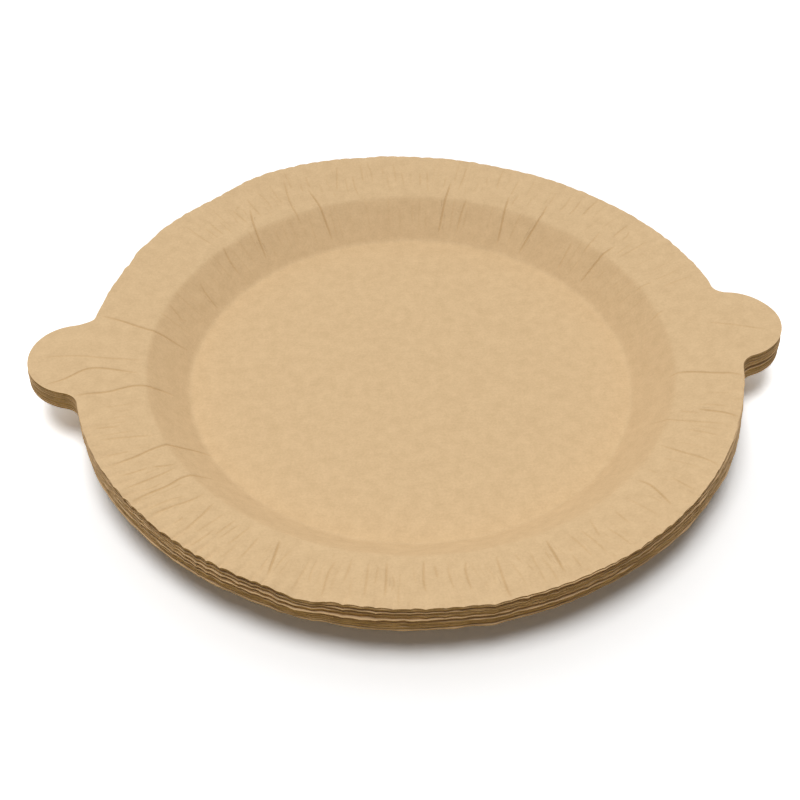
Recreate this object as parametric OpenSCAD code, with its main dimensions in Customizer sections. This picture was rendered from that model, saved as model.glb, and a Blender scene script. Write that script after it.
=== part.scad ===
// Stack of shallow kraft-paper plates with two rounded ears, nested in one another.
// Every plate is one pressed sheet with a flat floor, a sloping wall and a rising flange.
// Pressing a flat sheet into a dish leaves too much paper at the rim, so the flange is gathered in
// radial flutes that start near the wall and grow to the edge. They run through the sheet, hollow
// below, so that the next plate's flutes nest in them. The ears stay flat.
// The origin is on the table under the middle of the stack, +Z up, the ears lie along X.

/* [Plate] */
// Diameter over the rim, ears left out
rim_d = 245; // [200:1:290]
// Width of the flange, measured level
flange_w = 24; // [20:0.5:28]
// Distance outwards from the foot of the wall to its top, measured level
wall_run = 14.7; // [12:0.1:18]
// Height of the wall
well_depth = 12.5; // [10:0.1:15]
// Rise of the lowest plate's flange from the top of the wall to the rim
flange_rise = 2.9; // [1.5:0.1:5]
// Thickness of the paper
sheet_t = 0.33; // [0.25:0.01:0.4]
// Inner radius of the bend at the foot of the wall
foot_bend = 6; // [3:0.5:9]
// Outer radius of the bend at the top of the wall
shoulder_bend = 3.5; // [1.5:0.5:5]

/* [Ears] */
// How far each ear stands out past the rim
ear_reach = 18.1; // [14:0.1:22]
// Width of the ear's round end
ear_w = 37.4; // [30:0.2:44]
// Radius of the hollow corner between ear and rim
ear_corner = 7; // [4:0.5:10]
// Rise of the paper from the rim to the tip of the ear
ear_rise = 1.4; // [0.5:0.1:2.5]

/* [Gathers] */
// Gathers along each half of the rim, from ear to ear
half_gathers = 36; // [16:1:46]
// Height of a gather at the rim
gather_h = 0.5; // [0.3:0.05:0.7]
// Share of its place that a gather takes up at the rim
gather_fill = 0.6; // [0.4:0.02:0.64]
// Distance from the wall's top to the start of the gathers
gather_inset = 4; // [3.5:0.5:8]
// Length of rim beside each ear without gathers
plain_rim = 4; // [3:0.5:12]

/* [Stack] */
// Plates in the stack
plate_count = 16; // [4:1:24]
// Air between two nested walls, measured upright
nest_air = 0.03; // [0.02:0.01:0.08]
// Extra air under the top plate
top_air = 0.4; // [0:0.05:0.6]
// Extra air in the middle of the stack
middle_air = 0.6; // [0:0.05:0.6]
// Plates below the middle air
lower_plates = 7; // [1:1:20]
// How much more the top plate's flange rises than the lowest one's
rim_fan = 1.2; // [0:0.1:2]

/* [Hidden] */
$fn = 120;
paper = "#d8b98e";
bend_steps = 4;
arc_step = 9;
rim_r = rim_d / 2;
shoulder_r = rim_r - flange_w;
foot_r = shoulder_r - wall_run;
wall_slope = atan(well_depth / wall_run);
pitch = sheet_t / cos(wall_slope) + nest_air;
// The slope changes just outside the rim, so only in the ears
crease_r = rim_r + 1;
ear_r = ear_w / 2;
ear_x = rim_r + ear_reach - ear_r;
outer_r = rim_r + ear_reach + 2;
// Direction from the middle to the hollow corner's centre
corner_r = rim_r + ear_corner;
corner_a = acos((corner_r * corner_r + ear_x * ear_x - pow(ear_r + ear_corner, 2)) / (2 * corner_r * ear_x));
plain_a = corner_a + plain_rim / rim_r * 180 / PI;
gather_a = (180 - 2 * plain_a) / half_gathers;
gather_half = gather_fill * gather_a * PI / 180 * rim_r / 2;
gather_start = shoulder_r + gather_inset;
skirt = 1.2;
skirt_depth = 1.5;
lead = 1.5;
overrun = 0.6;

function unit(v) = v / norm(v);
function left(v) = [-v[1], v[0]];
function turned(v, a) = [v[0] * cos(a) - v[1] * sin(a), v[0] * sin(a) + v[1] * cos(a)];
function corner(a, b, c, d) =
    let (n = left(unit(b - a)), m = left(unit(c - b)))
    b - d * (n + m) / (1 + n * m);

// Rounds the corner b of the sheet's top face, or of the face that lies d below it
function bend(a, b, c, r, d) =
    let (u = unit(b - a), w = unit(c - b))
    let (turn = asin(u[0] * w[1] - u[1] * w[0]), side = sign(turn), q = r + side * d)
    let (centre = corner(a, b, c, d) - u * q * tan(abs(turn) / 2) + left(u) * side * q)
    [for (k = [0 : bend_steps]) centre - side * q * left(turned(u, turn * k / bend_steps))];

// Section of the sheet's top face from the middle outwards, or of the face that lies d below it
function section(rise, d, edge_r) =
    let (slope = rise / flange_w, ear_slope = ear_rise / ear_reach)
    let (middle = [0, 0], foot = [foot_r, 0], shoulder = [shoulder_r, well_depth])
    let (crease = [crease_r, well_depth + slope * (crease_r - shoulder_r)])
    let (tip = [edge_r, crease[1] + ear_slope * (edge_r - crease_r)])
    concat([[0, -d]], bend(middle, foot, shoulder, foot_bend, d),
        bend(foot, shoulder, crease, shoulder_bend, d),
        [corner(shoulder, crease, tip, d), [edge_r, tip[1] - d / cos(atan(ear_slope))]]);

function arc(c, r, a0, a1) =
    let (n = ceil(abs(a1 - a0) / arc_step))
    [for (k = [0 : n]) c + r * [cos(a0 + (a1 - a0) * k / n), sin(a0 + (a1 - a0) * k / n)]];

// Everything below the sheet's top face, or below the face that lies d under it
module below(rise, d, floor_z, edge_r) {
    rotate_extrude()
        polygon(concat(section(rise, d, edge_r), [[edge_r, floor_z], [0, floor_z]]));
}

// Roof-shaped flutes that rise out of the flange, or the same ones further down.
// Each starts inside the sheet and has skirts that stay inside it.
module gathers(rise, down) {
    tilt = atan(rise / flange_w);
    start_z = well_depth + rise * gather_inset / flange_w;
    run = (rim_r - gather_start) / cos(tilt);
    lift = atan(gather_h / run);
    half = skirt * gather_half;
    for (side = [0, 180], k = [0 : half_gathers - 1])
        rotate([0, 0, side + plain_a + (k + 0.5) * gather_a])
            translate([gather_start, 0, start_z - down])
                rotate([0, -tilt - lift, 0])
                    translate([-lead, 0, 0])
                        rotate([90, 0, 90])
                            linear_extrude(height = lead + run + overrun)
                                polygon([[0, 0], [-half, -skirt * gather_h], [-half, -skirt_depth],
                                    [half, -skirt_depth], [half, -skirt * gather_h]]);
}

// Outline of one ear, with its root inside the rim
module ear_outline() {
    c = corner_r * [cos(corner_a), sin(corner_a)];
    to_rim = corner_a + 180;
    to_ear = 360 + atan2(-c[1], ear_x - c[0]);
    inner = arc(c, ear_corner, to_rim, to_ear);
    side = concat([inner[0] + (inner[0] - inner[1]) / 2], inner);
    round_end = arc([ear_x, 0], ear_r, to_ear - 180, 0);
    upper = concat([[shoulder_r, side[0][1]]], side, [for (k = [1 : len(round_end) - 2]) round_end[k]]);
    n = len(upper);
    polygon(concat(upper, [[ear_x + ear_r, 0]], [for (k = [n - 1 : -1 : 0]) [upper[k][0], -upper[k][1]]]));
}

module blank() {
    translate([0, 0, -10]) {
        cylinder(r = rim_r, h = 60);
        linear_extrude(height = 60) ear_outline();
        rotate([0, 0, 180]) linear_extrude(height = 60) ear_outline();
    }
}

// Plate number k, counted from 0 at the bottom
module plate(k) {
    rise = flange_rise + rim_fan * k / (plate_count - 1);
    down = sheet_t / cos(atan(rise / flange_w));
    floor_z = sheet_t + k * pitch + (k >= lower_plates ? middle_air : 0) + (k == plate_count - 1 ? top_air : 0);
    color(paper) translate([0, 0, floor_z]) intersection() {
        difference() {
            union() {
                below(rise, 0, -4, outer_r);
                gathers(rise, 0);
            }
            below(rise, sheet_t, -6, outer_r + 1);
            gathers(rise, down);
        }
        blank();
    }
}

for (k = [0 : plate_count - 1])
    plate(k);
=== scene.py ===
import math
import bpy
import numpy as np
from mathutils import Euler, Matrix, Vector


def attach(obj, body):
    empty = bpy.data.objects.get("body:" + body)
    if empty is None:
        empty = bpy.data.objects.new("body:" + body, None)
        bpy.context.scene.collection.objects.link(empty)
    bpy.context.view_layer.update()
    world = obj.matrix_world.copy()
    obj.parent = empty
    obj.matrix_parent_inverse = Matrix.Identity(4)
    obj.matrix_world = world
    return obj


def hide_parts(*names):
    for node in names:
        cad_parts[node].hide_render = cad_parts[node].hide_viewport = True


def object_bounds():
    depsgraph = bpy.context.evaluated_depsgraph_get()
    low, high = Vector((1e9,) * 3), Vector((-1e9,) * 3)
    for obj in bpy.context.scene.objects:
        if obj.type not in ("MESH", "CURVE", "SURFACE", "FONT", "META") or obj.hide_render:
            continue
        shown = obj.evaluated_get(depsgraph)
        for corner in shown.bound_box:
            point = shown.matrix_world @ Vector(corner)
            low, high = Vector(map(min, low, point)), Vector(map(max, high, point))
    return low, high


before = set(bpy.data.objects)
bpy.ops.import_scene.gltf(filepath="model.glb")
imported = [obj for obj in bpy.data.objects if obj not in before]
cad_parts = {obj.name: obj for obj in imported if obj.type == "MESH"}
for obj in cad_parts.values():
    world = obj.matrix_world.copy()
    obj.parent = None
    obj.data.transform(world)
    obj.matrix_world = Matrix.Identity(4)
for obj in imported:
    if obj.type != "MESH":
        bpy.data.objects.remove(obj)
cad_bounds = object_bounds()
MM = 0.001

# Camera
# The viewer stands in front of the stack, a little to the left, and looks down on it at about 45 degrees.
# Its place is in millimetres and its turn in degrees. The photo is as high as it is wide, in pixels.
EYE = (-32.65, -348.29, 335.13)
TURN = (45.7299, -0.0564, -4.6406)
PHOTO_SIDE = 800
camera_data = bpy.data.cameras.new("camera")
camera_data.sensor_width = 36
camera_data.lens = 56.25
camera_data.clip_start, camera_data.clip_end = 0.01, 20
camera = bpy.data.objects.new("camera", camera_data)
camera.location = Vector(EYE) * MM
camera.rotation_euler = Euler([math.radians(a) for a in TURN], "XYZ")
bpy.context.scene.collection.objects.link(camera)
bpy.context.scene.camera = camera


# Kraft paper
# The plates are unbleached kraft paper: matte, cloudy, with short fibres and a fine tooth.
# Every plate is made of the same paper. The cut edge shows the sheet's raw, browner middle, darkened more by
# painted shade.

# scales of the noise in the paper, the fibres' drawn out along X, and how much each adds to the grain
CLOUD, SPECK, FIBRE = 220, 1300, (350, 2600, 2600)
CLOUD_SHARE, SPECK_SHARE, FIBRE_SHARE = 0.45, 0.4, 0.15
# the grain at which the colour is darkest and palest, and the relief of grain and creases in millimetres
DARKEST, PALEST = 0.36, 0.64
GRAIN_RELIEF, CREASE_RELIEF = 0.12, 0.22
# how narrow a crease's line is, how much painted shade darkens it, and the colour of that shade
CREASE_SHARP, CREASE_SHADE_SHARE, CREASE_SHADE = 6.5, 0.6, (0.80, 0.69, 0.52)


def paint(name):
    """A new material, with its nodes, its links and its shader."""
    material = bpy.data.materials.new(name)
    material.use_nodes = True
    nodes, links = material.node_tree.nodes, material.node_tree.links
    return material, nodes, links, nodes["Principled BSDF"]


def link(links, value, socket):
    """Sets a socket to a number or joins it to another socket."""
    if isinstance(value, (int, float)):
        socket.default_value = value
    else:
        links.new(value, socket)


def calculator(nodes, links):
    """Three functions that add Math nodes to a tree: any operation, a sum and a product."""
    def calc(op, *values):
        n = nodes.new("ShaderNodeMath")
        n.operation = op
        for value, socket in zip(values, n.inputs):
            link(links, value, socket)
        return n.outputs[0]

    def total(first, *others):
        for other in others:
            first = calc("ADD", first, other)
        return first

    def product(first, *others):
        for other in others:
            first = calc("MULTIPLY", first, other)
        return first

    return calc, total, product


def bell(calc, square, sharp):
    """A bell curve over a squared distance: 1 in its middle, falling faster the sharper it is."""
    return calc("POWER", 2.718, calc("MULTIPLY", square, -sharp))


def shade_noise(nodes, links, vector, scale, detail, rough):
    n = nodes.new("ShaderNodeTexNoise")
    n.inputs["Scale"].default_value = scale
    n.inputs["Detail"].default_value = detail
    n.inputs["Roughness"].default_value = rough
    links.new(vector, n.inputs["Vector"])
    return n.outputs["Fac"]


def shade_bump(nodes, links, height, distance, strength, under=None):
    n = nodes.new("ShaderNodeBump")
    n.inputs["Distance"].default_value = distance
    n.inputs["Strength"].default_value = strength
    links.new(height, n.inputs["Height"])
    if under is not None:
        links.new(under, n.inputs["Normal"])
    return n.outputs["Normal"]


def stored(nodes, name):
    """A value that the mesh carries at its points."""
    n = nodes.new("ShaderNodeAttribute")
    n.attribute_name = name
    return n.outputs["Fac"]


def kraft(name, pale, dark, creased):
    """Cloudy, specked, fibrous paper between a pale and a dark colour."""
    material, nodes, links, bsdf = paint(name)
    calc, total, product = calculator(nodes, links)
    place = nodes.new("ShaderNodeTexCoord").outputs["Object"]
    cloud = shade_noise(nodes, links, place, scale=CLOUD, detail=3, rough=0.6)
    speck = shade_noise(nodes, links, place, scale=SPECK, detail=2, rough=0.6)
    stretch = nodes.new("ShaderNodeMapping")
    stretch.inputs["Scale"].default_value = FIBRE
    links.new(place, stretch.inputs["Vector"])
    fibre = shade_noise(nodes, links, stretch.outputs[0], scale=1, detail=2, rough=0.5)
    grain = total(product(cloud, CLOUD_SHARE), product(speck, SPECK_SHARE), product(fibre, FIBRE_SHARE))
    ramp = nodes.new("ShaderNodeValToRGB")
    for stop, position, colour in zip(ramp.color_ramp.elements, (DARKEST, PALEST), (dark, pale)):
        stop.position = position
        stop.color = (*colour, 1)
    links.new(grain, ramp.inputs["Fac"])
    colour = ramp.outputs["Color"]
    normal = shade_bump(nodes, links, grain, distance=GRAIN_RELIEF * MM, strength=0.5)
    if creased:
        # a crease is a narrow soft valley, with painted shade along it that makes it a little browner than
        # the sheet
        off = stored(nodes, "crease")
        line = product(bell(calc, product(off, off), CREASE_SHARP), stored(nodes, "crease_depth"))
        normal = shade_bump(nodes, links, product(line, -1.0), distance=CREASE_RELIEF * MM, strength=1.0,
                            under=normal)
        # painted shade along the crease's valley
        painted_crease_shade = nodes.new("ShaderNodeMix")
        painted_crease_shade.data_type = "RGBA"
        painted_crease_shade.blend_type = "MULTIPLY"
        links.new(product(line, CREASE_SHADE_SHARE), painted_crease_shade.inputs["Factor"])
        links.new(colour, painted_crease_shade.inputs["A"])
        painted_crease_shade.inputs["B"].default_value = (*CREASE_SHADE, 1)
        colour = painted_crease_shade.outputs["Result"]
    links.new(colour, bsdf.inputs["Base Color"])
    links.new(normal, bsdf.inputs["Normal"])
    bsdf.inputs["Roughness"].default_value = 0.78
    bsdf.inputs["Specular IOR Level"].default_value = 0.25
    return material


paper = kraft("kraft_paper", pale=(0.738, 0.524, 0.295), dark=(0.642, 0.446, 0.243), creased=True)
# the cut edge: browner raw paper, darkened further by painted shade
cut_paper_and_shade = kraft("kraft_paper_cut_and_shade", pale=(0.65, 0.375, 0.11), dark=(0.37, 0.203, 0.048), creased=False)


# Flat blanks
# Each plate starts as a flat sheet, cut to a disc with two round ears opposite each other.
# The blank is a fine grid that follows its outline, with a top, an underside and a cut edge. Millimetres.
RIM = round(cad_bounds[1][1] / MM, 1)
EAR_REACH = round(cad_bounds[1][0] / MM, 1) - RIM
FLANGE_WIDTH, WALL_RUN, WALL_HEIGHT, SHEET = 24.0, 14.7, 12.5, 0.33
SHOULDER = RIM - FLANGE_WIDTH
FOOT = SHOULDER - WALL_RUN
# radii of an ear's round end and of the hollow corner beside it, and how far out their centres lie
EAR_R, CORNER_R = 18.7, 7.0
EAR_AT = RIM + EAR_REACH - EAR_R
CORNER_AT = RIM + CORNER_R
# directions of the hollow corner's centre, and of the point where the ear's round end runs into it
CORNER_ANGLE = math.acos((CORNER_AT ** 2 + EAR_AT ** 2 - (EAR_R + CORNER_R) ** 2)
                         / (2 * CORNER_AT * EAR_AT))
TOUCH = EAR_R / (EAR_R + CORNER_R)
EAR_END = math.atan2(TOUCH * CORNER_AT * math.sin(CORNER_ANGLE),
                     EAR_AT + TOUCH * (CORNER_AT * math.cos(CORNER_ANGLE) - EAR_AT))
# degrees from an ear's middle line: between which its sides run, from where on the flange is gathered, and
# how many more it takes to be gathered fully
EAR_SIDES, GATHERED_FROM, GATHERED_OVER = (6, 12), 13, 5
# the cut edge's small wavers: their size, and how many there are to a turn
WAVER, WAVERS = 0.12, 240
# widths of the bends at the wall's foot and top
FOOT_BEND, SHOULDER_BEND = 2.4, 1.6
# (angle, value) round the plate: the millimetres by which the edge strays from the true outline, those by
# which the lowest plate's edge spreads further, and how strongly the flange is gathered
BULGE = [(0, -0.4), (5, -0.9), (9, -0.6), (13, 0.2), (20, 0.2), (30, -0.2), (45, -0.8), (65, -0.8),
         (80, -0.6), (90, 0), (100, 0.4), (110, 1.0), (117, 1.2), (122, 0.9), (128, 0), (140, 0.6), (148, 0),
         (155, -1.3), (165, -1.8), (169, -1.7), (172, 0.3), (180, 0), (186, 0.4), (192, 0.5), (202, 0.5),
         (212, 0.1), (220, -0.3), (250, -0.2), (300, -0.4), (320, -0.7), (340, -0.8), (348, -0.4)]
SPREAD = [(0, 0.3), (90, 0.5), (150, 0.8), (185, 0.5), (196, 0.5), (206, 0.7), (216, 0.6), (226, 0.5),
          (236, 0.5), (256, 0.3), (300, 0), (315, 0.8), (330, 1.4), (345, 1.2)]
GATHERED = [(0, 0.35), (60, 0.3), (100, 0.35), (150, 0.35), (190, 0.6), (207, 0.8), (217, 1.2), (242, 1.1),
            (246, 0.3), (251, 0.3), (254, 0.8), (262, 0.6), (280, 0.6), (310, 0.8), (330, 0.7), (345, 0.6)]
rng = np.random.default_rng(3)


def from_ears(angle):
    """Angle to the nearer ear's middle line, in degrees."""
    return np.abs((angle + 90) % 180 - 90)


def circle_edge(centre, radius, off, side):
    """How far out a circle's far side (1) or near side (-1) lies, at an angle off its centre."""
    return centre * np.cos(off) + side * np.sqrt(np.maximum(radius ** 2 - (centre * np.sin(off)) ** 2, 0))


def outline(angle):
    """Radius of the blank's edge at an angle in degrees."""
    off = np.radians(from_ears(angle))
    ear = circle_edge(EAR_AT, EAR_R, off, 1)
    hollow = circle_edge(CORNER_AT, CORNER_R, CORNER_ANGLE - off, -1)
    return np.where(off <= EAR_END, ear, np.where(off < CORNER_ANGLE, hollow, RIM))


def directions(step):
    """Angles of the grid's spokes, closer together along the ears' sides."""
    even = np.arange(0, 360, step)
    off = from_ears(even)
    return np.sort(np.concatenate([even, even[(off > EAR_SIDES[0]) & (off < EAR_SIDES[1])] + step / 2]))


def ease(v):
    """Rises softly from 0 to 1 as v does."""
    v = np.clip(v, 0, 1)
    return v * v * (3 - 2 * v)


def around(angle, points):
    """Smooth curve through (angle, value) points round the plate."""
    p = sorted(points)
    x = np.array([p[-1][0] - 360] + [a for a, _ in p] + [p[0][0] + 360], float)
    y = np.array([p[-1][1]] + [v for _, v in p] + [p[0][1]], float)
    i = np.clip(np.searchsorted(x, angle, side="right") - 1, 0, len(x) - 2)
    return y[i] + (y[i + 1] - y[i]) * ease((angle - x[i]) / (x[i + 1] - x[i]))


def off_ears(angle):
    """0 on the ears, 1 where the flange is gathered."""
    return ease((from_ears(angle) - GATHERED_FROM) / GATHERED_OVER)


def rings(inner, outer, edge):
    """Radii of a grid: fixed ones inside, the others shared out up to the outline."""
    inner, outer = np.array(inner), np.array(outer)
    return np.concatenate([np.tile(inner[:, None], len(edge)),
                           inner[-1] + outer[:, None] * (edge - inner[-1])[None, :]])


def sheet_faces(n_top, n_low, spokes):
    """Faces of a closed sheet: the rings of its top and underside, their middles, and last the cut edge."""
    here = np.arange(spokes)
    after = (here + 1) % spokes
    hub, low, rim_low = (n_top + n_low) * spokes, n_top * spokes, (n_top + n_low - 1) * spokes
    rim_top = low - spokes
    faces = []
    for ring in range(n_top - 1):
        a, b = ring * spokes, (ring + 1) * spokes
        faces += np.stack([a + here, b + here, b + after, a + after], 1).tolist()
    for ring in range(n_top, n_top + n_low - 1):
        a, b = ring * spokes, (ring + 1) * spokes
        faces += np.stack([a + after, b + after, b + here, a + here], 1).tolist()
    faces += np.stack([np.full(spokes, hub), here, after], 1).tolist()
    faces += np.stack([np.full(spokes, hub + 1), low + after, low + here], 1).tolist()
    faces += np.stack([rim_top + here, rim_low + here, rim_low + after, rim_top + after], 1).tolist()
    return faces, rim_top, rim_low


def store(mesh, name, values):
    """Gives each point of the mesh its own value."""
    layer = mesh.attributes.new(name, "FLOAT", "POINT")
    layer.data.foreach_set("value", np.asarray(values, np.float32))


def blank(name, step, top_rings, low_rings, lift, spread, stray):
    """The flat sheet, and the radius and angle of its points. Its attributes steer the press."""
    angle = directions(step)
    edge = outline(angle) + around(angle, BULGE) + spread * around(angle, SPREAD) + around(angle, stray)
    # between the ears the cut wavers a little as the gathers pull it in
    waver = np.resize(rng.normal(0, WAVER, WAVERS), WAVERS + 1)
    edge += off_ears(angle) * np.interp(angle, np.linspace(0, 360, WAVERS + 1), waver)
    tops, lows = rings(*top_rings, edge), rings(*low_rings, edge)
    radius = np.concatenate([tops, lows])
    c, s = np.cos(np.radians(angle)), np.sin(np.radians(angle))
    flat = np.stack([radius * c, radius * s, np.zeros_like(radius)], -1).reshape(-1, 3) * MM
    spokes, n_top, n_all = len(angle), len(tops), len(radius)
    faces, rim_top, rim_low = sheet_faces(n_top, len(lows), spokes)
    mesh = bpy.data.meshes.new(name)
    mesh.from_pydata(np.concatenate([flat, np.zeros((2, 3))]).tolist(), [], faces)
    mesh.polygons.foreach_set("use_smooth", np.ones(len(faces), bool))
    cut = mesh.attributes.new("cut", "BOOLEAN", "FACE")
    cut.data.foreach_set("value", np.arange(len(faces)) >= len(faces) - spokes)
    # the cut edge is crisp above and below
    ends = np.zeros(2 * len(mesh.edges), int)
    mesh.edges.foreach_get("vertices", ends)
    ends = ends.reshape(-1, 2)
    above = (ends >= rim_top) & (ends < rim_top + spokes)
    under = (ends >= rim_low) & (ends < rim_low + spokes)
    sharp = mesh.attributes.new("sharp_edge", "BOOLEAN", "EDGE")
    sharp.data.foreach_set("value", above.all(1) | under.all(1))
    # how far the underside lies below the top face, measured upright
    steep = ease((radius - FOOT + FOOT_BEND / 2) / FOOT_BEND)
    steep = steep * (1 - ease((radius - SHOULDER + SHOULDER_BEND / 2) / SHOULDER_BEND))
    thick = SHEET * (1 + (math.hypot(1, WALL_HEIGHT / WALL_RUN) - 1) * steep)
    thick[:n_top] = 0
    store(mesh, "below", np.concatenate([thick.ravel(), [0, SHEET]]) * MM)
    store(mesh, "lift", np.concatenate([np.tile(lift(angle), n_all), [0, 0]]) * MM)
    gathered = off_ears(angle) * around(angle, GATHERED)
    store(mesh, "gathered", np.concatenate([np.tile(gathered, n_all), [0, 0]]))
    return mesh, np.concatenate([radius.ravel(), [0, 0]]), np.concatenate([np.tile(angle, n_all), [0, 0]])


# Creases
# Long soft creases run across the flange and wall of the top plate, left by the press and by handling.
# Each is a depth and the places that it runs through, read off the photo in its own pixels.
CREASES = [
    (1.0, (102, 316), (120, 320), (140, 327), (154, 331), (166, 337), (178, 345), (190, 352)),
    (1.0, (46, 382.5), (66, 378), (86, 368), (100, 367.5), (116, 369.5), (138, 373)),
    (1.0, (74, 396), (84, 393.5), (108, 392), (124, 387.5), (136, 385), (148, 386.5), (166, 392),
     (176, 397)),
    (1.0, (111, 465.5), (135, 457), (148, 450.5), (163, 445), (180, 447.5), (200, 452), (215, 455.5)),
    (1.0, (133, 502), (148, 494), (168, 486), (180, 478), (190, 475), (199, 476.5), (215, 479.5)),
    (1.0, (268, 575), (273, 560), (280, 540)),
    (1.0, (546, 540), (555, 555), (565, 572)),
    (1.0, (638, 480), (650, 484), (662, 495), (671, 505)),
    (1.0, (668, 378), (682, 372), (695, 371.5), (718, 373), (733, 372.5), (743, 376)),
    (1.0, (698, 409), (715, 411), (727, 413), (738, 417)),
    (1.0, (308, 191), (317, 202), (324, 217), (333, 242)),
    (1.0, (250, 210), (254, 227), (260, 242), (267, 260)),
    (1.0, (451, 183), (444, 205), (438, 235)),
    (1.0, (509, 197), (505, 209), (497, 245)),
    (1.0, (547, 206), (540, 219), (528, 237), (518, 255)),
    (1.0, (615, 246), (606, 252), (593, 266), (579, 284)),
    (0.7, (152, 467), (162, 466), (174, 464.5)),
    (0.7, (121, 476), (132, 473), (150, 467)),
    (0.7, (124, 490), (145, 481), (160, 475), (177, 467)),
    (0.7, (152, 515), (170, 507), (190, 501), (204, 494)),
    (0.7, (185, 530), (200, 517), (210, 507), (214, 503)),
    (0.7, (660, 445), (682, 452), (707, 459), (720, 467)),
    (0.7, (200, 283), (205, 293), (219, 310)),
    (0.7, (223, 247), (230, 262), (240, 275)),
    (0.7, (284, 183), (290, 205), (302, 227)),
    (0.7, (467, 199), (460, 217), (457, 232)),
    (0.7, (385, 597), (387, 562)),
    (0.7, (424, 560), (423, 580), (426, 592)),
    (0.7, (466, 561), (465, 572), (472, 590)),
    (0.7, (496, 556), (507, 590), (512, 597)),
    (0.5, (42, 355), (66, 355), (86, 356), (106, 358), (144, 360)),
    (0.5, (96, 428.5), (120, 426)),
    (0.5, (100, 440), (122, 437.5), (155, 435)),
    (0.5, (105, 456), (130, 451)),
    (0.5, (148, 510), (165, 501), (185, 496)),
    (0.5, (215, 535), (236, 520)),
    (0.5, (227, 545), (240, 535), (251, 526)),
    (0.5, (321, 595), (327, 572), (336, 560)),
    (0.5, (364, 597), (369, 562)),
    (0.5, (572, 555), (582, 567)),
    (0.5, (590, 520), (600, 537)),
    (0.5, (615, 511), (630, 524)),
    (0.5, (671, 477), (695, 491)),
    (0.5, (170, 305), (180, 317), (186, 325)),
    (0.5, (337, 169), (337, 192)),
    (0.5, (572, 242), (565, 255), (557, 270)),
    (0.5, (600, 232), (592, 242), (581, 256)),
    (0.5, (664, 310), (650, 322)),
    (0.5, (652, 282), (635, 292)),
    (0.5, (707, 322), (740, 325), (767, 327.5)),
    (0.5, (727, 328.5), (740, 326.5), (753, 326.5), (763, 327.5)),
    (0.5, (648, 425), (672, 420), (682, 420.5), (728, 424)),
]
# heights of the plates' floors: each is one sheet and a little air above the last, with more air above
# plate 7 and below the top plate
COUNT, LOWER, NEST_AIR, MIDDLE_AIR, TOP_AIR = 16, 7, 0.03, 0.6, 0.4
PITCH = SHEET * math.hypot(1, WALL_HEIGHT / WALL_RUN) + NEST_AIR
floors = [SHEET + k * PITCH + (MIDDLE_AIR if k >= LOWER else 0) + (TOP_AIR if k == COUNT - 1 else 0)
          for k in range(COUNT)]
# usual rise of the top plate's flange
FLANGE_RISE = 4.1
# a line of sight is followed from this far above the wall to this far below the floor, in so many steps
ABOVE_WALL, BELOW_FLOOR, SIGHT_STEPS = 8, 1, 1000


def on_top_plate(u, v):
    """Where the line of sight through a pixel of the photo meets the top plate: x and y in millimetres."""
    focal = PHOTO_SIDE * camera_data.lens / camera_data.sensor_width
    across, up = (u - PHOTO_SIDE / 2) / focal, (PHOTO_SIDE / 2 - v) / focal
    eye = np.array(camera.location) / MM
    ray = np.array(camera.rotation_euler.to_matrix() @ Vector((across, up, -1)))
    z = floors[-1] + np.linspace(WALL_HEIGHT + ABOVE_WALL, -BELOW_FLOOR, SIGHT_STEPS)
    at = eye[:2] + ((z - eye[2]) / ray[2])[:, None] * ray[:2]
    r = np.hypot(*at.T)
    wall = np.clip((r - FOOT) * WALL_HEIGHT / WALL_RUN, 0, WALL_HEIGHT)
    flange = np.maximum(r - SHOULDER, 0) * FLANGE_RISE / FLANGE_WIDTH
    return at[np.argmax(floors[-1] + wall + flange >= z)]


def polar(radius, angle):
    """x and y at a radius and an angle in degrees."""
    return radius * math.cos(math.radians(angle)), radius * math.sin(math.radians(angle))


# where the fine wrinkles of the flange lie: from one angle to another, and the usual degrees between two
CROWDED = [(240, 302, 1.05), (58, 138, 1.5), (302, 345, 2.4), (192, 240, 1.9), (15, 58, 2.8)]
# between which values a wrinkle's depth, the radius where it starts and its length lie
WRINKLE_DEPTH, WRINKLE_START, WRINKLE_LENGTH = (0.12, 0.55), (101, 109), (6, 15)
# the radii that its middle and its end stay inside, and the degrees by which it leans and bows
MIDDLE_INSIDE, END_INSIDE, LEAN, BOW = 120, 121.5, 0.35, 0.25
# a gap between two wrinkles is between these times the usual
GAP_TIMES = (0.35, 1.6)
# the wrinkles of the far wall: the angles between which they lie, the degrees between two, by which each
# is shifted and by which it leans, and between which values its depth and the radii of its ends lie
WALL_ANGLES, WALL_GAP, WALL_SHIFT, WALL_LEAN = (15, 165), 2.6, 1, 0.4
WALL_DEPTH, WALL_START, WALL_END = (0.1, 0.3), (86, 90), (94, 101)


def fine_creases():
    """Short wrinkles side by side on the flange, close together in front and behind, and on the far wall."""
    found = []
    for first, last, gap in CROWDED:
        at = first
        while at < last:
            start, length = rng.uniform(*WRINKLE_START), rng.uniform(*WRINKLE_LENGTH)
            lean, bow = rng.normal(0, LEAN), rng.normal(0, BOW)
            found.append((rng.uniform(*WRINKLE_DEPTH), polar(start, at),
                          polar(min(start + length / 2, MIDDLE_INSIDE), at + lean / 2 + bow),
                          polar(min(start + length, END_INSIDE), at + lean)))
            at += gap * rng.uniform(*GAP_TIMES)
    even = np.arange(*WALL_ANGLES, WALL_GAP)
    for at in even + rng.uniform(-WALL_SHIFT, WALL_SHIFT, len(even)):
        found.append((rng.uniform(*WALL_DEPTH), polar(rng.uniform(*WALL_START), at),
                      polar(rng.uniform(*WALL_END), at + rng.normal(0, WALL_LEAN))))
    return found


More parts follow.
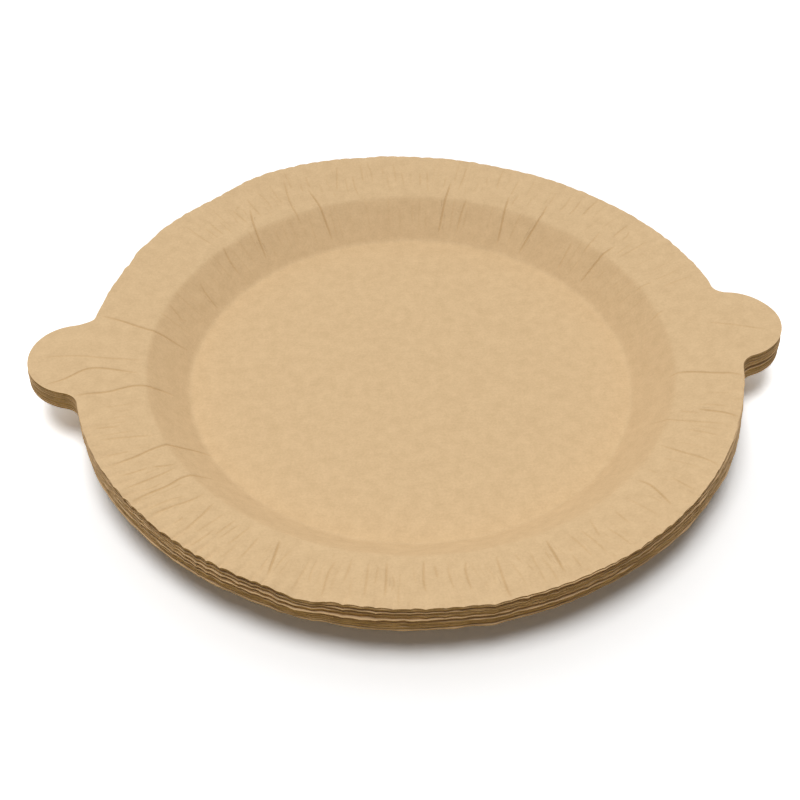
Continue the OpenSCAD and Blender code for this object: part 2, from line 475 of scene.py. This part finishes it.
def rounded(path):
    """The same line with its corners cut off, twice over."""
    for _ in range(2):
        a, b = path[:-1], path[1:]
        cut = np.stack([0.75 * a + 0.25 * b, 0.25 * a + 0.75 * b], 1).reshape(-1, 2)
        path = np.concatenate([path[:1], cut, path[-1:]])
    return path


# how far from a crease its distance is stored, the share of its length over which each end fades, and how
# far inside the wall's foot the creases end
REACH, END_SHARE, PAST_FOOT = 4.0, 0.25, 1.3
# a crease has faded out this far from one that is marked already, and is full so much further off
APART, APART_OVER = 1.4, 0.7
# beside its middle line a crease is kept up to this distance, and has faded out so much further off
WIDE, WIDE_OVER = 0.9, 0.5


def mark_creases(mesh, radius, angle):
    """Stores each point's signed distance in millimetres to the nearest crease, and that crease's depth."""
    xy = np.stack([radius * np.cos(np.radians(angle)), radius * np.sin(np.radians(angle))], 1)
    best = np.full(len(xy), REACH)
    depth = np.zeros(len(xy))
    long_ones = [(strength, *(on_top_plate(*pixel) for pixel in path)) for strength, *path in CREASES]
    for strength, *path in long_ones + fine_creases():
        p = rounded(np.array(path))
        close = np.nonzero(((xy > p.min(0) - REACH) & (xy < p.max(0) + REACH)).all(1))[0]
        spot, least, deep = xy[close], best[close], depth[close]
        # it fades out before it meets one that is marked already
        room = ease((np.abs(least) - APART) / APART_OVER)
        whole = np.linalg.norm(np.diff(p, axis=0), axis=1).sum()
        done = 0.0
        for a, b in zip(p[:-1], p[1:]):
            d = b - a
            length = np.linalg.norm(d)
            inside = np.clip(((spot - a) @ d) / length ** 2, 0, 1)
            gap = spot - a - inside[:, None] * d
            size = np.linalg.norm(gap, axis=1)
            side = np.where(d[0] * gap[:, 1] - d[1] * gap[:, 0] < 0, -1, 1)
            along = (done + inside * length) / whole
            fade = (np.clip(along / END_SHARE, 0, 1) * np.clip((1 - along) / END_SHARE, 0, 1)) ** 0.5
            nearer = (room > 0) & (size < np.abs(least))
            least = np.where(nearer, size * side, least)
            deep = np.where(nearer, strength * fade * room, deep)
            done += length
        best[close], depth[close] = least, deep
    store(mesh, "crease", best)
    # none on the floor, and none halfway between two creases, where the distance changes sign
    depth = np.where(radius > FOOT - PAST_FOOT, depth, 0) * (1 - ease((np.abs(best) - WIDE) / WIDE_OVER))
    store(mesh, "crease_depth", depth)


# Press
# One press shapes every blank: flat floor, sloping wall, rising flange, and ears that lie flatter.
# Too much paper is left at the rim, so the flange gathers into lobes that grow towards the edge.
EAR_RISE = 1.4
EAR_SLOPE = EAR_RISE / EAR_REACH
# how softly the slope changes at the wall's foot, at its top and at the ears
FOOT_SOFT, SHOULDER_SOFT, EAR_SOFT = 1.3, 0.9, 2
# how far outside the rim the ears' slope begins, and how far inside the wall's top the flange's runs on
EAR_FROM, RUN_ON = 1, 6
# gathers to the turn, how far they sway, how blunt they are, and how high up on them the plain flange lies
GATHERS, SWAY, BLUNT, SUNK = 148, 2.4, 0.7, 0.6
# a lobe's size, how much it changes slowly and from lobe to lobe, and the least size
LOBE, SLOW_CHANGE, QUICK_CHANGE, LEAST_LOBE = 0.95, 0.9, 0.8, 0.1
# how far inside the rim the lobes start, how much that changes, how far outside it they are full, and
# the power of their growth
START_INSIDE, START_CHANGE, FULL_OUTSIDE, GROWTH = 17, 16, 3, 1.5
# heights of the broad and the fine wrinkles, and how fast they change outwards
BROAD, FINE, RUN = 1.2, 0.5, 40.0
# how wrinkled the plate is, how much that changes round it, and the share where it isn't gathered
WRINKLED, WRINKLED_CHANGE, PLAIN_SHARE = 0.55, 1.6, 0.35
# the wrinkles begin this far above the wall's foot and are full this far beyond its top
WRINKLES_FROM, WRINKLES_FULL = 1, 3
# how narrow the pressed crease is, and its depth
PRESSED_SHARP, PRESSED_DEPTH = 1.5, 0.12


def make_press():
    """The tree of nodes that raises a flat blank to the plate's shape and gives it its paper."""
    tree = bpy.data.node_groups.new("plate_press", "GeometryNodeTree")
    sockets = tree.interface
    sockets.new_socket("Blank", in_out="INPUT", socket_type="NodeSocketGeometry")
    for name, value in (("Floor height", 0.0), ("Wall height", WALL_HEIGHT * MM),
                        ("Gather height", 0.7 * MM), ("Wrinkle height", 0.2 * MM), ("Seed", 1.0)):
        sockets.new_socket(name, in_out="INPUT", socket_type="NodeSocketFloat").default_value = value
    sockets.new_socket("Gathers", in_out="INPUT", socket_type="NodeSocketInt").default_value = GATHERS
    for name in ("Paper", "Cut edge"):
        sockets.new_socket(name, in_out="INPUT", socket_type="NodeSocketMaterial")
    sockets.new_socket("Plate", in_out="OUTPUT", socket_type="NodeSocketGeometry")
    nodes, links = tree.nodes, tree.links
    calc, total, product = calculator(nodes, links)
    given = nodes.new("NodeGroupInput").outputs

    def attribute(name, kind="FLOAT"):
        n = nodes.new("GeometryNodeInputNamedAttribute")
        n.data_type = kind
        n.inputs["Name"].default_value = name
        return n.outputs["Attribute"]

    def vector(x, y, z):
        n = nodes.new("ShaderNodeCombineXYZ")
        for value, socket in zip((x, y, z), n.inputs):
            link(links, value, socket)
        return n.outputs[0]

    def soft_step(value, start, end):
        n = nodes.new("ShaderNodeMapRange")
        n.interpolation_type = "SMOOTHSTEP"
        link(links, value, n.inputs["Value"])
        link(links, start, n.inputs["From Min"])
        link(links, end, n.inputs["From Max"])
        return n.outputs["Result"]

    # radius, kept off zero in the middle of the plate, and direction
    split = nodes.new("ShaderNodeSeparateXYZ")
    links.new(nodes.new("GeometryNodeInputPosition").outputs[0], split.inputs[0])
    x, y = split.outputs[0], split.outputs[1]
    r = calc("MAXIMUM", calc("SQRT", total(product(x, x), product(y, y))), 1e-6)
    cx, cy = calc("DIVIDE", x, r), calc("DIVIDE", y, r)
    angle = calc("ARCTAN2", y, x)

    def wave(ring, z, detail=0.0):
        """Smooth noise from -0.5 to 0.5 round the plate, more waves the larger the ring through it.

        z is a plain number, which picks another pattern, or runs outwards.
        """
        n = nodes.new("ShaderNodeTexNoise")
        n.noise_dimensions = "4D"
        n.inputs["Scale"].default_value = 1
        n.inputs["Detail"].default_value = detail
        links.new(vector(product(cx, ring), product(cy, ring), z), n.inputs["Vector"])
        link(links, given["Seed"], n.inputs["W"])
        return calc("SUBTRACT", n.outputs["Fac"], 0.5)

    # section: floor, wall, flange, then flatter in the ears
    wall = product(calc("SUBTRACT", r, FOOT * MM), WALL_HEIGHT / WALL_RUN)
    bowl = calc("SMOOTH_MAX", wall, 0.0, FOOT_SOFT * MM)
    slope = calc("DIVIDE", attribute("lift"), FLANGE_WIDTH * MM)
    beyond = calc("MAXIMUM", calc("SUBTRACT", r, SHOULDER * MM), -RUN_ON * MM)
    flange = total(given["Wall height"], product(slope, beyond))
    dish = calc("SMOOTH_MIN", bowl, flange, SHOULDER_SOFT * MM)
    past = calc("SMOOTH_MAX", calc("SUBTRACT", r, (RIM + EAR_FROM) * MM), 0.0, EAR_SOFT * MM)
    dish = calc("SUBTRACT", dish, product(past, calc("SUBTRACT", slope, EAR_SLOPE)))

    # gathers: rounded lobes with narrow valleys, uneven in width, height and length
    half_gathers = calc("DIVIDE", given["Gathers"], 2.0)
    turn = total(product(half_gathers, angle), product(wave(ring=14.0, z=0.0), SWAY))
    lobe = calc("POWER", calc("ABSOLUTE", calc("SINE", turn)), BLUNT)
    each = wave(ring=30.0, z=3.0)
    size = total(LOBE, product(wave(ring=4.0, z=7.0), SLOW_CHANGE), product(each, QUICK_CHANGE))
    size = calc("MAXIMUM", size, LEAST_LOBE)
    start = total((RIM - START_INSIDE) * MM, product(each, START_CHANGE * MM))
    grown = calc("POWER", soft_step(r, start, (RIM + FULL_OUTSIDE) * MM), GROWTH)
    gather = product(calc("SUBTRACT", lobe, SUNK), size, grown, given["Gather height"],
                     attribute("gathered"))

    # wrinkles: thin radial folds over the flange and the upper wall
    run = product(r, RUN)
    folds = total(product(wave(ring=24.0, z=run, detail=1.0), BROAD),
                  product(wave(ring=70.0, z=run, detail=1.0), FINE))
    where = total(WRINKLED, product(wave(ring=5.0, z=1.0), WRINKLED_CHANGE))
    over = product(soft_step(r, (FOOT + WRINKLES_FROM) * MM, (SHOULDER + WRINKLES_FULL) * MM),
                   total(PLAIN_SHARE, product(attribute("gathered"), 1 - PLAIN_SHARE)))
    wrinkle = product(folds, where, over, given["Wrinkle height"])

    # creases: shallow valleys along the marked lines
    off = attribute("crease")
    valley = product(bell(calc, product(off, off), PRESSED_SHARP), attribute("crease_depth"),
                     -PRESSED_DEPTH * MM)

    # all of it together, the underside one thickness lower, then the paper and its cut edge
    height = total(dish, gather, wrinkle, given["Floor height"], valley)
    height = calc("SUBTRACT", height, attribute("below"))
    raised = nodes.new("GeometryNodeSetPosition")
    links.new(given["Blank"], raised.inputs["Geometry"])
    links.new(vector(x, y, height), raised.inputs["Position"])
    whole = nodes.new("GeometryNodeRealizeInstances")
    links.new(raised.outputs[0], whole.inputs[0])
    coat = nodes.new("GeometryNodeSetMaterial")
    links.new(whole.outputs[0], coat.inputs["Geometry"])
    links.new(given["Paper"], coat.inputs["Material"])
    trim = nodes.new("GeometryNodeSetMaterial")
    links.new(attribute("cut", "BOOLEAN"), trim.inputs["Selection"])
    links.new(coat.outputs[0], trim.inputs["Geometry"])
    links.new(given["Cut edge"], trim.inputs["Material"])
    links.new(trim.outputs[0], nodes.new("NodeGroupOutput").inputs[0])
    return tree


def pressed(mesh, name, press, **settings):
    """The blank as it leaves the press, a plain mesh. The settings are the press's inputs."""
    raw = bpy.data.objects.new(name + "_blank", mesh)
    bpy.context.scene.collection.objects.link(raw)
    modifier = raw.modifiers.new("press", "NODES")
    modifier.node_group = press
    keys = {s.name: s.identifier for s in press.interface.items_tree if s.in_out == "INPUT"}
    for key, value in settings.items():
        modifier[keys[key.replace("_", " ")]] = value
    bpy.context.view_layer.update()
    depsgraph = bpy.context.evaluated_depsgraph_get()
    shape = bpy.data.meshes.new_from_object(raw.evaluated_get(depsgraph))
    shape.name = name
    raw.modifiers.remove(modifier)
    bpy.data.objects.remove(raw)
    plate = bpy.data.objects.new(name, shape)
    bpy.context.scene.collection.objects.link(plate)
    return plate


# Stack of plates
# Sixteen plates lie nested in one another, each one pressed sheet, held by nothing but their weight.
# The flanges spread unevenly: most at the front, least at the left ear, with a wide gap above plate 7.
# They lie in close pairs, two sheets that were pressed together, with more air between the pairs.

# share of the air below each plate's edge, from the top plate down, in front and at the ears
AIR_IN_FRONT = [0.16, 0.04, 0.90, 0.04, 1.10, 0.04, 0.50, 0.04, 1.50, 0.04, 0.12, 0.04, 0.15, 0.04, 0.55]
AIR_AT_EARS = [0.12, 0.04, 0.50, 0.04, 0.50, 0.04, 0.15, 0.04, 1.80, 0.04, 0.20, 0.04, 0.25, 0.04, 0.45]
# degrees from an ear's middle line up to which its air holds, and how many more to that of the front
EAR_AIR_TO, EAR_AIR_OVER = 15, 40
# (angle, millimetres) round the plate: the stack's thickness at the rim, and the top flange's rise
THICK = [(180, 7.5), (190, 7.8), (196, 8.4), (205, 9.1), (215, 9.8), (226, 10.4), (240, 10.4), (245, 10.4),
         (248, 9.2), (251, 9.3), (254, 10.8), (256, 11.0), (270, 10.6), (300, 10.9), (325, 10.6),
         (340, 10.5), (351, 10.3), (0, 9.8), (20, 9.5), (90, 9.5), (150, 8.0)]
RISE = [(0, 4.1), (60, 4.1), (94, 4.8), (104, 5.6), (118, 5.6), (126, 4.4), (150, 4.1), (200, 4.0),
        (230, 4.3), (244, 4.4), (246, 3.3), (248, 2.2), (250.5, 2.4), (253, 4.1), (274, 4.1), (277, 3.3),
        (281, 4.1), (300, 4.4), (330, 4.3)]
# the least upright distance between two edges: the paper and a little air, more under the creased top plate
LEAST, TOP_LEAST = 0.42, 0.50
least_apart = np.array([[TOP_LEAST]] + [[LEAST]] * (COUNT - 2))
# the wide gap's place in the two lists of air, and how its width changes round the stack
WIDE_AT = COUNT - 1 - LOWER
WIDE_GAP = [(150, 0.3), (200, 0.4), (225, 1), (20, 1), (90, 0.6)]
# the air and the edges change every so many degrees round the stack, each time a little shifted
PLACES, SHIFT = np.arange(0, 360, 24), 8
# the air varies between these shares of the usual, except in the wide gap and under the lowest pair
AIR_VARIES = (0.3, 1.8)
drift = [list(zip(PLACES + rng.uniform(-SHIFT, SHIFT), rng.uniform(*AIR_VARIES, len(PLACES))))
         for _ in AIR_IN_FRONT]
drift[WIDE_AT] = drift[-1] = [(0, 1.0)]
# every sheet but the top one lies a little off the next, and the edges of some stand out further
OFF, OUT = 0.2, {0: 0.3, 6: 0.45, 7: 0.3, 10: 0.2, 15: 0.25}
strays = []
for k in range(COUNT):
    at = PLACES + rng.uniform(-SHIFT, SHIFT, len(PLACES))
    strays.append(list(zip(at, OUT.get(k, 0) + rng.normal(0, 0 if k == COUNT - 1 else OFF, len(PLACES)))))


def share_above(angle):
    """Share of the stack's thickness that lies above each plate's edge, from the top plate down."""
    ear = 1 - ease((from_ears(angle) - EAR_AIR_TO) / EAR_AIR_OVER)
    free = np.array([(front + (beside - front) * ear) * around(angle, change)
                     for front, beside, change in zip(AIR_IN_FRONT, AIR_AT_EARS, drift)])
    free[WIDE_AT] *= around(angle, WIDE_GAP)
    least = least_apart / (around(angle, THICK) - SHEET)
    free = least + free / free.sum(0) * (1 - least.sum(0))
    return np.concatenate([np.zeros((1, len(angle))), np.cumsum(free, 0)])


def lift_of(k):
    """How far plate k's flange rises from the wall's top to the rim, in each direction."""
    def lift(angle):
        top = floors[-1] + WALL_HEIGHT + around(angle, RISE)
        edge = top - share_above(angle)[COUNT - 1 - k] * (around(angle, THICK) - SHEET)
        return edge - floors[k] - WALL_HEIGHT
    return lift


press = make_press()
# radii of the grids inside the rim, closer together at the bends, and shares of the way on to the edge
top_inside = [12, 26, 40, 54, 68, 78, 82, 82.8, 83.5, 84.2, 85, 86, 88, 90, 92, 94, 95.5, 96.8, 97.6, 98.3,
              99, 99.8]
other_inside = [40, 82, 83.3, 84.5, 85.8, 97.0, 98.5, 99.9]
top_outside = np.linspace(0, 1, 27)[1:] ** 0.92
other_outside = np.array([0.4, 0.75, 0.93, 1.0])
# degrees between two spokes of a grid
TOP_STEP, OTHER_STEP = 0.25, 0.4
# height of the lobes in the lowest plate and how much it grows with each pair, and height of the wrinkles
GATHER, GATHER_GROWS, WRINKLE = 0.2, 0.1, 0.3
# both plates of a pair have one pattern, which changes a little with each pair and more at the wide gap
PATTERN, PAIR_CHANGE, GAP_CHANGE = 2.0, 0.06, 0.12
for k in range(COUNT):
    top_plate, low_plate = k == COUNT - 1, k == 0
    tops = (top_inside, top_outside) if top_plate else (other_inside, other_outside)
    lows = (top_inside[::2], top_outside[1::2]) if low_plate else (other_inside, other_outside)
    name = "plate_%02d_paper" % (k + 1)
    step = TOP_STEP if top_plate else OTHER_STEP
    spread = 1 - k / (COUNT - 1)
    mesh, radius, angle = blank(name + "_flat", step, tops, lows, lift_of(k), spread, strays[k])
    if top_plate:
        mark_creases(mesh, radius, angle)
    pair = (k + 1) // 2
    plate = pressed(mesh, name, press, Floor_height=floors[k] * MM,
                    Gather_height=(GATHER + GATHER_GROWS * pair) * MM, Wrinkle_height=WRINKLE * MM,
                    Seed=PATTERN + PAIR_CHANGE * pair + (GAP_CHANGE if k >= LOWER else 0),
                    Gathers=GATHERS, Paper=paper, Cut_edge=cut_paper_and_shade)
    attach(plate, "root")
    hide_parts("plate_%02d" % (k + 1))


# Table and light
# The stack stands on a plain white sweep that keeps only its soft shadow, lit from above and behind.
# To the camera the sweep is a blown-out white, with painted light beside the ears that lightens the shadows
# under them. To the plates it is a pale floor.

# how bright the sweep is to the plates and to the camera, and the painted light that the spots beside the
# ears add
BOUNCED, SEEN, PAINTED_LIGHT_BESIDE_EARS = 0.6, 1.2, 0.85
# metres: half the sweep's width, how far out the spots of painted light lie, and from where on it grows
# brighter
HALF_SWEEP, SPOT_OUT, FAR = 4, 0.129, 0.16
# how narrow the spots of painted light are, and how fast the sweep grows brighter further out
SPOT_SHARP, FAR_BRIGHTER = 1100.0, 3.0
corners = [(x * HALF_SWEEP, y * HALF_SWEEP, 0) for x, y in ((-1, -1), (1, -1), (1, 1), (-1, 1))]
floor_mesh = bpy.data.meshes.new("floor")
floor_mesh.from_pydata(corners, [], [(0, 1, 2, 3)])
floor = bpy.data.objects.new("floor", floor_mesh)
bpy.context.scene.collection.objects.link(floor)
white, nodes, links, bsdf = paint("white_floor")
calc, total, product = calculator(nodes, links)


def seen_directly(nodes, calc):
    """1 for the camera and for what shows in metal and glass, 0 for light that falls on the plates."""
    ray = nodes.new("ShaderNodeLightPath").outputs
    mirrored = calc("MAXIMUM", ray["Is Glossy Ray"], ray["Is Transmission Ray"])
    return calc("MAXIMUM", ray["Is Camera Ray"], mirrored)


place = nodes.new("ShaderNodeTexCoord").outputs["Object"]
split = nodes.new("ShaderNodeSeparateXYZ")
links.new(place, split.inputs[0])
along = calc("SUBTRACT", calc("ABSOLUTE", split.outputs[0]), SPOT_OUT)
across = split.outputs[1]
# spots of painted light beside the ears, which lighten the shadows under the ears
spot = bell(calc, total(product(along, along), product(across, across)), SPOT_SHARP)
seen_and_painted_light = total(product(spot, PAINTED_LIGHT_BESIDE_EARS), SEEN)
span = nodes.new("ShaderNodeVectorMath")
span.operation = "LENGTH"
links.new(place, span.inputs[0])
away = product(calc("MAXIMUM", calc("SUBTRACT", span.outputs["Value"], FAR), 0.0), FAR_BRIGHTER)
extra = product(seen_directly(nodes, calc), calc("SUBTRACT", total(seen_and_painted_light, away), BOUNCED))
matte = nodes.new("ShaderNodeBsdfDiffuse")
links.new(total(extra, BOUNCED), matte.inputs["Color"])
links.new(matte.outputs[0], nodes["Material Output"].inputs["Surface"])
nodes.remove(bsdf)
floor_mesh.materials.append(white)

# the world's light on the plates, and what the camera sees behind the sweep
AROUND, BACKDROP = 0.125, 1.0
world = bpy.data.worlds.new("world")
bpy.context.scene.world = world
world.use_nodes = True
nodes, links = world.node_tree.nodes, world.node_tree.links
calc = calculator(nodes, links)[0]
around_stack, backdrop = nodes["Background"], nodes.new("ShaderNodeBackground")
for sky, strength in ((around_stack, AROUND), (backdrop, BACKDROP)):
    sky.inputs["Color"].default_value = (1, 1, 1, 1)
    sky.inputs["Strength"].default_value = strength
mixed = nodes.new("ShaderNodeMixShader")
links.new(seen_directly(nodes, calc), mixed.inputs[0])
links.new(around_stack.outputs[0], mixed.inputs[1])
links.new(backdrop.outputs[0], mixed.inputs[2])
links.new(mixed.outputs[0], nodes["World Output"].inputs["Surface"])


def lamp(name, place, size, power):
    """A round lamp that points at the foot of the stack."""
    data = bpy.data.lights.new(name, "AREA")
    data.shape = "DISK"
    data.size = size
    data.energy = power
    light = bpy.data.objects.new(name, data)
    light.location = place
    light.rotation_euler = (-Vector(place)).to_track_quat("-Z", "Y").to_euler()
    bpy.context.scene.collection.objects.link(light)


lamp("soft_box", place=(-0.04, 0.9, 1.15), size=2.6, power=12.1)
lamp("key", place=(-0.1, -0.25, 1.38), size=0.8, power=12.3)

bpy.context.scene.view_settings.view_transform = "Standard"
